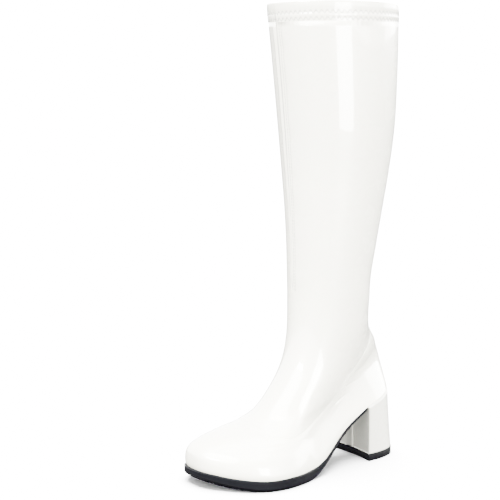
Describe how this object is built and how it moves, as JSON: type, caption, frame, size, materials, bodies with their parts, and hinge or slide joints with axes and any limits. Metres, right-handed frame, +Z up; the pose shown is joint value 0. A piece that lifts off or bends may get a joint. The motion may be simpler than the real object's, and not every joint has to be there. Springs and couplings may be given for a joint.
{
  "type": "go go boot",
  "caption": "Knee-high left boot in glossy white patent, with a rounded square toe, a stitched collar hem, a hidden zip seam, a flared wrapped block heel and a thin black sole.",
  "frame": {"origin": "centre of the top lift's underside, on the floor under the heel", "axes": "+X forward to the toe, +Y to the wearer's left, which is this boot's outer side, +Z up the shaft"},
  "size_m": [0.2303, 0.1145, 0.4602],
  "materials": {
    "patent_upper": "white coated patent, high gloss",
    "sock_lining": "pale matt lining",
    "black_sole": "black, satin",
    "heel_cover": "white coated patent wrapped over the block, high gloss",
    "black_lift": "black, matt"
  },
  "bodies": {
    "root": {"upper": "patent_upper", "insole": "sock_lining", "outsole": "black_sole", "heel_block": "heel_cover", "top_lift": "black_lift"}
  },
  "joints": []
}
